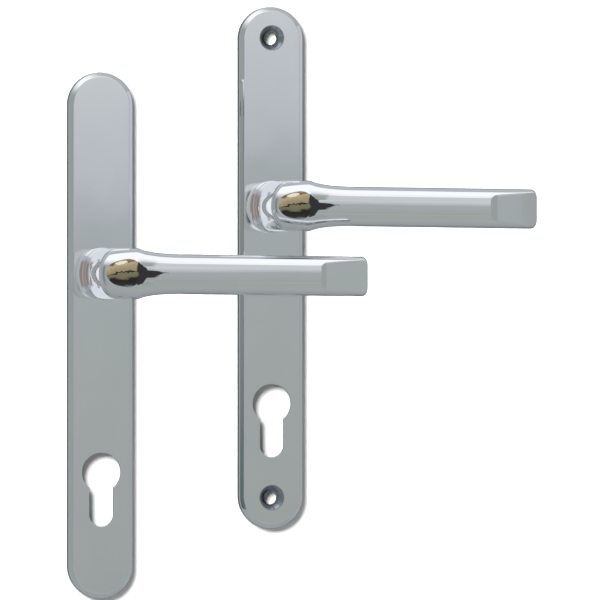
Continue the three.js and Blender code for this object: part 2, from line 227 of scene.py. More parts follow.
def rounded(corners, steps=4):
    """A line through (grow, y, radius) corners, with a smooth turn at each that has a radius."""
    line = [tuple(corners[0][:2])]
    for before, here, after in zip(corners, corners[1:], corners[2:]):
        at = Vector(here[:2])
        if len(here) < 3:
            line.append(tuple(at))
            continue
        back = Vector(before[:2]) - at
        on = Vector(after[:2]) - at
        reach = here[2] / math.tan(back.angle(on) / 2)
        reach = min(reach, 0.48 * back.length, 0.48 * on.length)
        start = at + back.normalized() * reach
        end = at + on.normalized() * reach
        for i in range(steps + 1):
            t = i / steps
            line.append(tuple(start * (1 - t) ** 2 + at * 2 * t * (1 - t) + end * t * t))
    line.append(tuple(corners[-1][:2]))
    return line


def arc(middle, radius, start, end, count):
    turns = [start + (end - start) * i / count for i in range(count + 1)]
    return [
        (middle[0] + radius * math.cos(t), middle[1] + radius * math.sin(t)) for t in turns
    ]


def circle(z=0, count=96):
    """The outline of a round form: its grow is its radius."""
    return lambda radius: arc((0, z), radius, 0, TURN, count)[:-1]


def plate_outline(grow):
    radius = PLATE_W / 2 + grow
    top = (0, PLATE_TOP - PLATE_W / 2)
    bottom = (0, PLATE_TOP - PLATE_L + PLATE_W / 2)
    return arc(top, radius, 0, math.pi, 72) + arc(bottom, radius, math.pi, TURN, 72)


def euro_outline(grow):
    radius = CYLINDER_R + grow
    half = CYLINDER_SLOT_HALF + grow
    join = math.asin(half / radius)
    down = -math.pi / 2
    low = (0, CYLINDER_Z + CYLINDER_SLOT_HALF - CYLINDER_BOTTOM)
    round_part = arc((0, CYLINDER_Z), radius, down + join, down - join + TURN, 64)
    return round_part + arc(low, half, math.pi, TURN, 32)


def rounded_box(middle, half, corner, count=6):
    def outline(grow):
        r = max(corner + grow, 0.02)
        w, h = half[0] + grow - r, half[1] + grow - r
        points = []
        for i, (sx, sz) in enumerate([(1, 1), (-1, 1), (-1, -1), (1, -1)]):
            at = (middle[0] + sx * w, middle[1] + sz * h)
            points += arc(at, r, i * math.pi / 2, (i + 1) * math.pi / 2, count)
        return points

    return outline


def cross_outline(z, arm, half):
    """A four-armed recess for a screwdriver; grow moves its walls out."""

    def outline(grow):
        a, h = arm + grow, half + grow
        quarter = [(a, -h), (a, h), (h, h)]
        points = []
        for i in range(4):
            c, s = math.cos(i * math.pi / 2), math.sin(i * math.pi / 2)
            points += [(x * c - y * s, z + x * s + y * c) for x, y in quarter]
        return points

    return outline


# ---- materials ----


class Shader:
    """A material or world's node tree, with short calls to make and join its nodes."""

    def __init__(self, owner):
        owner.use_nodes = True
        self.tree = owner.node_tree
        self.tree.nodes.clear()

    def add(self, kind, inputs=(), **settings):
        node = self.tree.nodes.new(kind)
        for name, value in settings.items():
            setattr(node, name, value)
        for key, value in dict(inputs).items():
            if isinstance(value, bpy.types.NodeSocket):
                self.tree.links.new(value, node.inputs[key])
            else:
                node.inputs[key].default_value = value
        return node

    def math(self, operation, a, b=0.0, clamp=False):
        node = self.add("ShaderNodeMath", {0: a, 1: b}, operation=operation, use_clamp=clamp)
        return node.outputs[0]

    def span(self, value, low, high, to_low=0.0, to_high=1.0):
        inputs = {"Value": value, "From Min": low, "From Max": high}
        inputs.update({"To Min": to_low, "To Max": to_high})
        node = self.add("ShaderNodeMapRange", inputs, interpolation_type="SMOOTHSTEP")
        return node.outputs["Result"]

    def ramp(self, value, stops, smooth="LINEAR"):
        node = self.add("ShaderNodeValToRGB", {"Fac": value})
        elements = node.color_ramp.elements
        node.color_ramp.interpolation = smooth
        while len(elements) < len(stops):
            elements.new(0.5)
        for element, (at, color) in zip(elements, stops):
            element.position = at
            element.color = color
        return node.outputs["Color"]

    def noise(self, vector, scale, detail=2.0, distortion=0.0, roughness=0.5):
        inputs = {"Vector": vector, "Scale": scale, "Detail": detail}
        inputs.update({"Distortion": distortion, "Roughness": roughness})
        return self.add("ShaderNodeTexNoise", inputs).outputs["Fac"]

    def stretched(self, vector, scale):
        node = self.add("ShaderNodeMapping", {"Vector": vector, "Scale": scale})
        return node.outputs["Vector"]

    def mix(self, share, a, b):
        inputs = {0: share, 6: a, 7: b}
        node = self.add("ShaderNodeMix", inputs, data_type="RGBA", clamp_factor=True)
        return node.outputs[2]

    def split(self, vector):
        return self.add("ShaderNodeSeparateXYZ", {"Vector": vector}).outputs

    def bump(self, height, distance, strength=1.0, under=None):
        inputs = {"Height": height, "Distance": distance, "Strength": strength}
        if under:
            inputs["Normal"] = under
        return self.add("ShaderNodeBump", inputs).outputs["Normal"]


def tone(red, green=None, blue=None, gain=1.0):
    """A display colour from 0 to 255 as a linear one."""
    values = (red, red if green is None else green, red if blue is None else blue)
    linear = []
    for value in values:
        v = value / 255
        linear.append(gain * (v / 12.92 if v <= 0.04045 else ((v + 0.055) / 1.055) ** 2.4))
    return (*linear, 1.0)


def principled(name, build, **fixed):
    """A material whose varying inputs come from build(shader, place)."""
    material = bpy.data.materials.new(name)
    shader = Shader(material)
    place = shader.add("ShaderNodeTexCoord").outputs["Object"]
    inputs = {key.replace("_", " "): value for key, value in fixed.items()}
    inputs.update(build(shader, place))
    surface = shader.add("ShaderNodeBsdfPrincipled", inputs)
    shader.add("ShaderNodeOutputMaterial", {"Surface": surface.outputs["BSDF"]})
    return material


def polished_chrome(shader, place):
    waves = shader.noise(place, 38, 1.5)
    orange_peel = shader.noise(place, 420, 2)
    swirls = shader.noise(shader.stretched(place, (1, 1, 3.5)), 2600, 2, 0.6)
    haze = shader.noise(place, 85, 4, 1.2, 0.6)
    grime = shader.noise(place, 24, 5, 0.8, 0.62)
    normal = shader.bump(waves, 0.000018)
    normal = shader.bump(orange_peel, 0.0000006, under=normal)
    normal = shader.bump(swirls, 0.00000005, under=normal)
    streak = shader.span(haze, 0.35, 0.75, 0.028, 0.062)
    smudge = shader.span(grime, 0.5, 0.72, 0.0, 0.035)
    tint = [(0.0, tone(236, 238, 240)), (0.55, tone(240, 242, 243)), (1.0, tone(246, 246, 247))]
    return {
        "Base Color": shader.ramp(grime, tint),
        "Roughness": shader.math("ADD", streak, smudge),
        "Normal": normal,
    }


def recess_chrome_painted_shade(shader, place):
    """Hazier plating on the turned surfaces of screw seats, its darker colour painted shade of the
    recessed seats.
    """
    haze = shader.noise(place, 300, 4, 0.6)
    turned = shader.noise(shader.stretched(place, (1, 9, 1)), 1900, 2)
    # painted shade: the seats' tint is darker than the face's plating
    tint = [(0.3, tone(160, 166, 174)), (0.7, tone(184, 189, 194))]
    return {
        "Base Color": shader.ramp(haze, tint),
        "Roughness": shader.span(haze, 0.3, 0.7, 0.12, 0.22),
        "Normal": shader.bump(turned, 0.000002),
    }


def cast_zinc(shader, place):
    blotch = shader.noise(place, 55, 5, 0.5, 0.6)
    grain = shader.noise(place, 1500, 3)
    flow = shader.noise(shader.stretched(place, (1, 1, 0.25)), 210, 3, 1.5)
    color = [(0.3, tone(128, 131, 134)), (0.52, tone(158, 161, 163)), (0.75, tone(178, 180, 182))]
    return {
        "Base Color": shader.ramp(blotch, color),
        "Roughness": shader.span(flow, 0.3, 0.7, 0.3, 0.48),
        "Normal": shader.bump(grain, 0.00003, under=shader.bump(flow, 0.00006)),
    }


def plated_steel(shader, place):
    blotch = shader.noise(place, 160, 4)
    brushed = shader.noise(shader.stretched(place, (9, 1, 0.7)), 1300, 2)
    color = [(0.3, tone(150, 152, 156)), (0.6, tone(182, 183, 184)), (0.8, tone(196, 195, 190))]
    return {
        "Base Color": shader.ramp(blotch, color),
        "Roughness": shader.span(brushed, 0.3, 0.7, 0.2, 0.34),
        "Normal": shader.bump(brushed, 0.000004),
    }


def drawn_wire(shader, place):
    drawn = shader.noise(shader.stretched(place, (1, 6, 1)), 900, 3)
    heat = shader.noise(place, 130, 2)
    color = [(0.3, tone(84, 84, 88)), (0.7, tone(128, 127, 126))]
    return {
        "Base Color": shader.ramp(heat, color),
        "Roughness": shader.span(drawn, 0.3, 0.7, 0.22, 0.36),
        "Normal": shader.bump(drawn, 0.000005),
    }


def moulded_nylon(shader, place):
    mottle = shader.noise(place, 240, 4)
    spark = shader.noise(place, 4200, 1)
    color = [(0.3, tone(224, 222, 214)), (0.7, tone(238, 236, 229))]
    return {
        "Base Color": shader.ramp(mottle, color),
        "Roughness": shader.span(mottle, 0.3, 0.7, 0.42, 0.58),
        "Normal": shader.bump(spark, 0.000008),
    }


chrome = principled("polished_chrome", polished_chrome, Metallic=1.0)
# the screw seats' material, darkened with painted shade
recess = principled("recess_chrome_painted_shade", recess_chrome_painted_shade, Metallic=1.0)
casting = principled("cast_zinc", cast_zinc, Metallic=1.0)
plated = principled("plated_steel", plated_steel, Metallic=1.0)
wire = principled("drawn_wire", drawn_wire, Metallic=1.0)
nylon = principled("moulded_nylon", moulded_nylon, Metallic=0.0, IOR=1.53)


# ---- placing pieces ----

body_of = {empty: name for name, empty in frame["bodies"].items()}


def stand_in(name, node, mesh, side):
    """A finer piece in a node's place, riding on the same body."""
    piece = bpy.data.objects.new(name, mesh)
    piece.location = HALVES[side] * MM
    bpy.context.scene.collection.objects.link(piece)
    even = piece.modifiers.new("even_normals", "WEIGHTED_NORMAL")
    even.keep_sharp = True
    bpy.context.view_layer.update()
    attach(piece, body_of[frame["nodes"][node].parent])
    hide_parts(node)
    return piece


# ---- backplates ----


def backplate(has_lugs):
    """A hollow casting: plating in slot 0, bare zinc in slot 1, screw seats in slot 2."""
    skin = Skin()
    rim = rounded([(-2.7, FACE_Y), (-2, FACE_Y, 0.45), (0, -4.8, 1.1), (0, 0, 0.25), (-1.2, 0)])
    face_edge, back_edge = skin.tube(plate_outline, rim, 0)
    well = rounded([(-1.2, 0), (-2, 0, 0.25), (-2, POCKET_Y, 0.7), (-3, POCKET_Y)])
    well_edge, floor_edge = skin.tube(plate_outline, well, 1)
    skin.band(back_edge, well_edge, 1)
    face = [face_edge]
    floor = [floor_edge]

    seat = rounded(
        [
            (11.9, FACE_Y),
            (11.5, FACE_Y, 0.2),
            (11.5, -6, 0.1),
            (8.8, -6, 0.1),
            (8.8, POCKET_Y, 0.15),
            (9.2, POCKET_Y),
        ]
    )
    front, back = skin.tube(circle(), seat, 0)
    face.append(front)
    floor.append(back)

    cut_out = rounded([(0.45, FACE_Y), (0, FACE_Y, 0.28), (0, POCKET_Y, 0.2), (0.4, POCKET_Y)])
    front, back = skin.tube(euro_outline, cut_out, 0)
    face.append(front)
    floor.append(back)

    for z in (UPPER_FIXING_Z, LOWER_FIXING_Z):
        boss = [(3.3, 0, 0.2), (6.2, 0, 0.35), (6.2, POCKET_Y, 0.5), (6.9, POCKET_Y)]
        if has_lugs:
            low, back = skin.tube(circle(z), rounded([(0.6, -5), (3.3, -5, 0.2), *boss]), 1)
            skin.close(low, 1)
        else:
            sunk = [(5.95, FACE_Y), (5.6, FACE_Y, 0.15), (3.3, -4.5, 0.3), (3.3, -2)]
            front, waist = skin.tube(circle(z), rounded(sunk), 2)
            face.append(front)
            low, back = skin.tube(circle(z), rounded([(3.3, -2), *boss]), 1)
            skin.band(waist, low, 1)
        floor.append(back)

    for z in (COVER_POST_Z, -COVER_POST_Z):
        post = [(0.4, -4), (1.45, -4), (1.45, -1.05, 0.1), (3.2, -1.05, 0.2)]
        path = rounded([*post, (3.2, POCKET_Y, 0.3), (3.7, POCKET_Y)])
        low, back = skin.tube(circle(z, 48), path, 1)
        skin.close(low, 1)
        floor.append(back)

    skin.fill(face, 0)
    skin.fill(floor, 1)
    for z in RIBS:
        skin.block((-RIB_HALF_L, RIB_HALF_L), (ROOT_Y, -2), (z - 0.8, z + 0.8), 0.35, 1, 0.1)
    # the post between the spring's legs, and the two stop pads
    skin.block((-1.9, 1.9), (ROOT_Y, -1.4), (11.9, 13.4), 0.2, 1)
    for side in (-1, 1):
        x = sorted((10.1 * side, RIB_HALF_L * side))
        skin.block(x, (ROOT_Y, -1.2), (-5.7, -2.8), 0.2, 1)
    return skin


# ---- levers ----

CAP_R = 34
CAP_TOP = 49.5
CORNER_R = 4
CORNER_END = math.radians(115)
CAP_END = math.radians(82)
SADDLE_R = 40
FLARE_H = 1.1  # the foot's straight rim, below its flare
NECK_H = 4.3  # the top of the flare
TAPER_START = 7
TAPER_LENGTH = 8.5
TAPER_POWER = 1.6
ARM_POWER = 2.4  # 2 is a round section, and more is squarer
NECK_POWER = 2
ARM_SINK = 0.012  # how far the arm falls for each millimetre of its length
THUMB_FADE = 0.62
THUMB_SOFTNESS = 0.16
AROUND = 192


def lever_outer_line():
    """The lever's outer side seen from above, as (x, height above the plate's face)."""
    flare = FOOT_R - NECK_X
    cap_to_corner = CAP_R - CORNER_R
    corner_x = CORNER_R - NECK_X
    cap_x = corner_x - cap_to_corner * math.cos(CORNER_END)
    cap_h = CAP_TOP - CAP_R
    corner_h = cap_h + cap_to_corner * math.sin(CORNER_END)
    saddle = (
        cap_x + (CAP_R + SADDLE_R) * math.cos(CAP_END),
        cap_h + (CAP_R + SADDLE_R) * math.sin(CAP_END),
    )
    line = [(-FOOT_R + 0.25, 0.3), (-FOOT_R + 0.07, 0.37), (-FOOT_R, 0.55), (-FOOT_R, 0.8)]
    line += arc((-FOOT_R, FLARE_H + flare), flare, -math.pi / 2, 0, 14)
    neck_top = corner_h - 0.5
    line += [(-NECK_X, NECK_H + (neck_top - NECK_H) * i / 12) for i in range(1, 13)]
    line += arc((corner_x, corner_h), CORNER_R, math.pi, CORNER_END, 16)
    line += arc((cap_x, cap_h), CAP_R, CORNER_END, CAP_END, 40)[1:]
    line += arc(saddle, SADDLE_R, CAP_END - math.pi, -math.pi / 2, 14)[1:]
    return line


def lever_inner_point(x, h):
    """Where the section through a point of the outer line meets the lever's other side."""
    corner = Vector((NECK_X + INNER_FILLET_R, ARM_BACK - INNER_FILLET_R))
    if x >= corner.x:
        return Vector((x, ARM_BACK))
    if h <= corner.y:
        return Vector((-x, h))
    return corner + (Vector((x, h)) - corner).normalized() * INNER_FILLET_R


def lever_section(x):
    """Half height and roundness of the section at x."""
    neck_share = math.exp(-1 * max(0, (x - TAPER_START) / TAPER_LENGTH) ** TAPER_POWER)
    half = ARM_Z + (NECK_Z - ARM_Z) * neck_share
    power = ARM_POWER + (NECK_POWER - ARM_POWER) * neck_share
    return half, power


def thumb_cut(x, front):
    """Height above the face of the thumb flat at x; over the front where there is none."""
    past = x - THUMB_START
    if past <= 0:
        return front - THUMB_FADE * past
    if past >= THUMB_RUN_IN:
        slope = (THUMB_DROP - THUMB_STEP) / (ARM_END + 2 - THUMB_START - THUMB_RUN_IN)
        return front - THUMB_STEP - slope * (past - THUMB_RUN_IN)
    # the run-in is a quadratic curve from the front, by way of its bend, to the full step
    a, b = THUMB_RUN_IN - 2 * THUMB_RUN_IN_BEND, 2 * THUMB_RUN_IN_BEND
    t = (-b + math.sqrt(b * b + 4 * a * past)) / (2 * a)
    return front - (2 * t * (1 - t) * THUMB_BEND_SHARE + t * t) * THUMB_STEP


def lever_ring(outer, inner, half, power, front):
    ring = []
    for i in range(AROUND):
        turn = TURN * i / AROUND
        c, s = math.cos(turn), math.sin(turn)
        across = math.copysign(abs(c) ** (2 / power), c)
        up = math.copysign(abs(s) ** (2 / power), s)
        at = inner.lerp(outer, 0.5 + 0.5 * across)
        height = at.y
        if at.x > THUMB_START - 6:
            limit = thumb_cut(at.x, front)
            height = (height + limit - math.hypot(height - limit, THUMB_SOFTNESS)) / 2
        sink = ARM_SINK * max(0, at.x - NECK_X)
        ring.append((at.x, FACE_Y - height, half * up - sink))
    return ring


def spigot_ring(radius, y):
    """A ring about the spindle axis in step with the lever's rings; radius may vary with turn."""
    ring = []
    for i in range(AROUND):
        turn = TURN * i / AROUND
        c, s = math.cos(turn), math.sin(turn)
        r = radius(c, s) if callable(radius) else radius
        ring.append((-r * c, y, r * s))
    return ring


def square_radius(half, corner):
    def radius(c, s):
        """Reach of a rounded square in the direction (c, s)."""
        c, s = abs(c), abs(s)
        r = half / max(c, s)
        inner = half - corner
        if r * min(c, s) > inner:
            along = inner * (c + s)
            r = along + math.sqrt(max(0, along * along - 2 * inner * inner + corner * corner))
        return r

    return radius


def flatted_radius(grow):
    """Reach of the spigot, a circle with two flats."""
    return lambda c, s: min(7.2 + grow, (6.2 + grow) / max(abs(c), 1e-6))


def lever():
    """One skin from the bottom of the spindle socket, over the foot and neck, to the arm's tip."""
    skin = Skin()
    rings = []
    socket = square_radius(4.1, 0.5)
    mouth = square_radius(4.4, 0.6)
    # the socket, the spigot's end, the circlip's groove, and the spigot up to the foot
    for radius, y in [
        (socket, -30),
        (socket, -15),
        (socket, -0.6),
        (mouth, -0.05),
        (flatted_radius(-0.35), -0.05),
        (flatted_radius(-0.1), -0.12),
        (flatted_radius(0), -0.3),
        (flatted_radius(0), -0.36),
        (6.05, -0.4),
        (6.05, -0.92),
        (flatted_radius(0), -0.96),
        (flatted_radius(0), -1.93),
        (7.0, -1.95),
        (7.17, -2.0),
        (7.2, -2.15),
        (7.2, -4.6),
        (7.2, FACE_Y - 0.25),
        (7.35, FACE_Y - 0.3),
    ]:
        rings.append(spigot_ring(radius, y))

    line = lever_outer_line()
    front = line[-1][1]
    for x, h in line:
        foot = max(0, -x - NECK_X) / (FOOT_R - NECK_X)
        half, power = lever_section(x)
        half += foot * (FOOT_R - NECK_Z)
        rings.append(lever_ring(Vector((x, h)), lever_inner_point(x, h), half, power, front))
    stations = []
    start = line[-1][0]
    for end, count in [(THUMB_START - 2, 44), (THUMB_START + 6, 46), (ARM_END - TIP_R, 16)]:
        stations += [start + (end - start) * i / count for i in range(1, count + 1)]
        start = end
    for x in stations:
        half, power = lever_section(x)
        rings.append(
            lever_ring(Vector((x, front)), Vector((x, ARM_BACK)), half, power, front)
        )
    for i in range(1, 15):
        angle = math.pi / 2 * i / 14
        x = ARM_END - TIP_R * (1 - math.sin(angle))
        corner = TIP_R * (1 - math.cos(angle))
        half, power = lever_section(x)
        outer = Vector((x, front - corner * 0.5))
        inner = Vector((x, ARM_BACK + corner * 0.5))
        rings.append(lever_ring(outer, inner, half - corner, power, front))

    made = [skin.ring(ring) for ring in rings]
    for a, b in zip(made, made[1:]):
        skin.band(a, b)
    skin.close(made[0])
    skin.close(made[-1])
    return skin


def bore_grub_hole(mesh):
    """The lever's mesh with the threaded hole for its grub screw, from below into the socket."""
    cutter = Skin()
    path = [(2.65, -13), (2.65, -10.9), (2.65, -3)]
    low, high = cutter.tube(circle(0, 64), path)
    cutter.close(low)
    cutter.close(high)
    upright = Matrix.Translation((0, FACE_Y - 9, 0)) @ Matrix.Rotation(math.pi / 2, 4, "X")
    tool = bpy.data.objects.new("tool", cutter.mesh("tool", [], upright))
    body = bpy.data.objects.new("body", mesh)
    for item in (tool, body):
        bpy.context.scene.collection.objects.link(item)
    boolean = body.modifiers.new("hole", "BOOLEAN")
    boolean.operation = "DIFFERENCE"
    boolean.solver = "EXACT"
    boolean.object = tool
    seen = body.evaluated_get(bpy.context.evaluated_depsgraph_get())
    bored = bpy.data.meshes.new_from_object(seen)
    for item in (tool, body):
        bpy.data.objects.remove(item)
    return bored


# ---- small parts ----


def cover_plate():
    skin = Skin()
    front, back = -0.75, -0.25
    outline = rounded_box((0, 0), (12.3, 23.5), 5, 14)
    edge = [(-0.4, front), (0, front, 0.12), (0, back, 0.12), (-0.4, back)]
    near, far = skin.tube(outline, rounded(edge, 3))
    fronts, backs = [near], [far]
    openings = [
        (circle(0, 96), 9.2, 0.15),
        (rounded_box((0, 12.6), (5.5, 2.4), 1), 0, 0.15),
        (circle(COVER_POST_Z, 40), 1.6, 1.05),
        (circle(-COVER_POST_Z, 40), 1.6, 1.05),
    ]
    for outline, size, spread in openings:
        path = [(size + 0.15, front), (size, front, 0.06), (size + spread - 0.05, back)]
        near, far = skin.tube(outline, rounded(path, 3))
        fronts.append(near)
        backs.append(far)
    skin.fill(fronts)
    skin.fill(backs)
    return skin


def cover_screw(z):
    skin = Skin()
    shank = [(0.3, -3.8), (1.2, -3.6, 0.2), (1.2, -1.35, 0.05), (2.3, -0.33, 0.06), (2.2, -0.25)]
    low, rim = skin.tube(circle(z, 40), rounded(shank, 3))
    skin.close(low)
    recess = cross_outline(z, 1.25, 0.3)
    mouth, floor = skin.tube(recess, [(0.08, -0.25), (0, -0.3), (-0.16, -0.95)])
    skin.fill([rim, mouth])
    skin.close(floor)
    return skin


def threaded(z, radius, depth, pitch, start, end, count=48):
    """Rings of a tapped bore about the line x = 0, from start to end along y."""
    rings = []
    steps = int(abs(end - start) / pitch * 8)
    for i in range(steps + 1):
        y = start + (end - start) * i / steps
        fade = min(1, i / 6, (steps - i) / 6)
        ring = []
        for k in range(count):
            turn = TURN * k / count
            phase = (y / pitch - k / count) % 1
            r = radius + depth * fade * (1 - abs(2 * phase - 1))
            ring.append((r * math.cos(turn), y, z + r * math.sin(turn)))
        rings.append(ring)
    return rings


def lug(z):
    skin = Skin()
    outline = circle(z, 48)
    body = [(0.5, -4.7), (3, -4.7, 0.3), (3, 0.3, 0.1), (4, 0.3, 0.25), (4, 18, 0.5)]
    low, rim = skin.tube(outline, rounded([*body, (2.7, 18, 0.1), (2.32, 17.7)], 4))
    skin.close(low)
    before = rim
    for points in threaded(z, 2.05, 0.3, 0.8, 17.6, 3):
        ring = skin.ring(points)
        skin.band(before, ring)
        before = ring
    skin.close(before)
    return skin


def grub_screw():
    skin = Skin()
    outline = circle(0, 48)
    body = [(0.4, 4.6), (1.5, 4.6, 0.2), (2.35, 5.4, 0.1), (2.35, 10.5, 0.25), (1.9, 10.5)]
    low, rim = skin.tube(outline, rounded(body, 3))
    skin.close(low)

    def key(grow):
        """The hexagon that takes the key."""
        r = 1.4 + grow
        return [(r * math.cos(TURN * i / 6), r * math.sin(TURN * i / 6)) for i in range(6)]

    mouth, floor = skin.tube(key, [(0.12, 10.5), (0, 10.4), (0, 8.6)])
    skin.fill([rim, mouth])
    skin.close(floor)
    return skin


# ---- the two halves ----

lever_mesh = lever().mesh("lever", [chrome])
lever_mesh = bore_grub_hole(lever_mesh)
downwards = Matrix.Translation((0, FACE_Y - 9, 0)) @ Matrix.Rotation(-math.pi / 2, 4, "X")

for side in HALVES:
    plate = backplate(side == "outside").mesh(side + "_backplate_form", [chrome, casting, recess])
    stand_in(side + "_backplate_form", side + "_backplate", plate, side)
    form = lever_mesh.copy()
    stand_in(side + "_lever_form", side + "_lever", form, side)
    cover = cover_plate().mesh(side + "_cover_form", [plated])
    stand_in(side + "_cover_form", side + "_spring_cover", cover, side)
    for place, z in (("upper", COVER_POST_Z), ("lower", -COVER_POST_Z)):
        name = f"{side}_cover_screw_{place}"
        screw = cover_screw(z).mesh(name + "_form", [plated])
        stand_in(name + "_form", name, screw, side)
    grub = grub_screw().mesh(side + "_grub_screw_form", [wire], downwards)
    stand_in(side + "_grub_screw_form", side + "_grub_screw", grub, side)

for place, z in (("upper", UPPER_FIXING_Z), ("lower", LOWER_FIXING_Z)):
    name = "outside_lug_" + place
    form = lug(z).mesh(name + "_form", [plated])
    stand_in(name + "_form", name, form, "outside")


def finish_node(node, material):
    """A carried-over solid with its own material and smooth round faces."""
    piece = frame["nodes"][node]
    piece.data.materials.clear()
    piece.data.materials.append(material)
    for polygon in piece.data.polygons:
        polygon.use_smooth = True
        polygon.material_index = 0
    split = piece.modifiers.new("crisp_edges", "EDGE_SPLIT")
    split.split_angle = SPLIT_EDGE


for side in HALVES:
    finish_node(side + "_bearing_bush", nylon)
    finish_node(side + "_spring_sleeve", nylon)
    finish_node(side + "_return_spring", wire)
    finish_node(side + "_follower", plated)
    finish_node(side + "_circlip", wire)

# ---- the surroundings that the chrome reflects ----


def surroundings():
    world = bpy.data.worlds.new("studio")
    bpy.context.scene.world = world
    shader = Shader(world)
    way = shader.add("ShaderNodeTexCoord").outputs["Generated"]
    parts = shader.split(way)
    forward = shader.math("MULTIPLY", parts["Y"], -1.0)
    # 0.5 is straight ahead of the plates; a full turn over the top, or to the right, is 1
    over = shader.math("ARCTAN2", parts["Z"], forward)
    over = shader.math("ADD", shader.math("DIVIDE", over, TURN), 0.5)
    around = shader.math("ARCTAN2", parts["X"], forward)
    around = shader.math("ADD", shader.math("DIVIDE", around, TURN), 0.5)
    high = shader.math("ARCSINE", parts["Z"])

    def at(degrees):
        return degrees / 360 + 0.5

    sweep = shader.ramp(
        over,
        [
            (at(-180), tone(104, 107, 110)),
            (at(-150), tone(118, 121, 124)),
            (at(-105), tone(158, 162, 165)),
            (at(-60), tone(168, 172, 172)),
            (at(-30), tone(166, 171, 168)),
            (at(-4), tone(170, 175, 173)),
            (at(6), tone(188, 192, 194)),
            (at(16), tone(206, 208, 211)),
            (at(37), tone(212, 214, 217)),
            (at(40), tone(250, 251, 254, 1.12)),
            (at(87), tone(252, 252, 255, 1.12)),
            (at(91), tone(190, 192, 200)),
            (at(98), tone(180, 183, 191)),
            (at(114), tone(194, 196, 204)),
            (at(138), tone(196, 199, 205)),
            (at(160), tone(134, 137, 144)),
            (at(180), tone(110, 113, 116)),
        ],
    )
    sides = shader.ramp(
        around,
        [
            (at(-180), tone(146, 150, 153)),
            (at(-173), tone(104, 110, 113)),
            (at(-164), tone(92, 98, 102)),
            (at(-150), tone(172, 179, 184)),
            (at(-100), tone(164, 168, 171)),
            (at(-84), tone(160, 164, 163)),
            (at(-75), tone(156, 160, 159)),
            (at(-67), tone(122, 126, 127)),
            (at(-58), tone(124, 129, 131)),
            (at(-46), tone(152, 157, 160)),
            (at(-30), tone(182, 187, 192)),
            (at(14), tone(170, 175, 176)),
            (at(24), tone(160, 165, 163)),
            (at(78), tone(160, 165, 164)),
            (at(96), tone(176, 181, 188)),
            (at(106), tone(166, 172, 176)),
            (at(122), tone(108, 113, 116)),
            (at(160), tone(112, 117, 120)),
            (at(180), tone(146, 150, 153)),
        ],
    )
    low_band = shader.span(shader.math("ABSOLUTE", high), 0.95, 0.35)
    off_axis = shader.math("ABSOLUTE", shader.math("SUBTRACT", around, at(4)))
    beside = shader.span(off_axis, 10 / 360, 18 / 360)
    color = shader.mix(shader.math("MULTIPLY", low_band, beside), sweep, sides)

    seen = shader.add("ShaderNodeLightPath").outputs["Is Camera Ray"]
    color = shader.mix(seen, color, (1.02, 1.02, 1.02, 1.0))
    glow = shader.add("ShaderNodeBackground", {"Color": color, "Strength": 1.0})
    shader.add("ShaderNodeOutputWorld", {"Surface": glow.outputs["Background"]})


surroundings()


def staged(name, mesh, location, rotation=(0, 0, 0)):
    """An item of the stage, which isn't part of the object."""
    item = bpy.data.objects.new(name, mesh)
    item.location = location
    item.rotation_euler = rotation
    bpy.context.scene.collection.objects.link(item)
    return item


def card(name, middle, towards, width, height):
    """An upright card in metres, facing towards a point."""
    mesh = bpy.data.meshes.new(name)
    w, h = width / 2, height / 2
    mesh.from_pydata([(-w, -h, 0), (w, -h, 0), (w, h, 0), (-w, h, 0)], [], [(0, 1, 2, 3)])
    facing = Vector(towards) - Vector(middle)
    return staged(name, mesh, middle, facing.to_track_quat("Z", "Y").to_euler())


def seen_from_front(shader, surface):
    """The surface where it faces the viewer, and nothing where it faces away."""
    away = shader.add("ShaderNodeNewGeometry").outputs["Backfacing"]
    clear = shader.add("ShaderNodeBsdfTransparent").outputs["BSDF"]
    return shader.add("ShaderNodeMixShader", {0: away, 1: surface, 2: clear}).outputs["Shader"]


CARD_GLOW = 1.13
ELBOW_GLOW = 1.1


def show_in_reflections(item, paint, strength=CARD_GLOW, one_sided=True):
    """Make an item of the stage glow, for reflections only.

    paint(shader, place) gives the colour and the share of the glow that shows, None for all.
    """
    material = bpy.data.materials.new(item.name)
    shader = Shader(material)
    color, share = paint(shader, shader.add("ShaderNodeTexCoord").outputs["Object"])
    glow = shader.add("ShaderNodeEmission", {"Color": color, "Strength": strength})
    surface = glow.outputs["Emission"]
    if share is not None:
        clear = shader.add("ShaderNodeBsdfTransparent").outputs["BSDF"]
        mixed = shader.add("ShaderNodeMixShader", {0: share, 1: clear, 2: surface})
        surface = mixed.outputs["Shader"]
    if one_sided:
        surface = seen_from_front(shader, surface)
    shader.add("ShaderNodeOutputMaterial", {"Surface": surface})
    item.data.materials.append(material)
    item.visible_camera = False
    item.visible_diffuse = False
    item.visible_shadow = False
    item.visible_transmission = False


def plate_gradient():
    """The card ahead whose slow gradient shows in the flat plates and along the arms."""
    height = 0.36
    middle = Vector((0.12, -0.5, -0.04))
    item = card("plate_gradient", middle, middle + Vector((0, 1, 0)), 0.32, height)

    def paint(shader, place):
        parts = shader.split(place)
        # the outside half stands lower, and so does its share of the gradient
        step = shader.span(parts["X"], 0.035, 0.085, 0.0, 0.0354)
        wander = shader.span(shader.noise(place, 40, 3, 0.8), 0.25, 0.75, -0.005, 0.005)
        level = shader.math("ADD", shader.math("ADD", parts["Y"], step), wander)
        level = shader.math("ADD", shader.math("DIVIDE", level, height), 0.5)
        stops = [
            (0.0, tone(165, 170, 168)),
            (0.08, tone(162, 167, 165)),
            (0.15, tone(153, 159, 157)),
            (0.22, tone(157, 162, 160)),
            (0.48, tone(160, 165, 164)),
            (0.66, tone(163, 168, 169)),
            (0.69, tone(166, 171, 174)),
            (0.715, tone(172, 176, 181)),
            (0.745, tone(180, 184, 189)),
            (0.79, tone(185, 189, 194)),
            (0.86, tone(189, 193, 197)),
            (0.92, tone(197, 200, 203)),
            (1.0, tone(203, 206, 209)),
        ]
        return shader.ramp(level, stops), None

    show_in_reflections(item, paint)


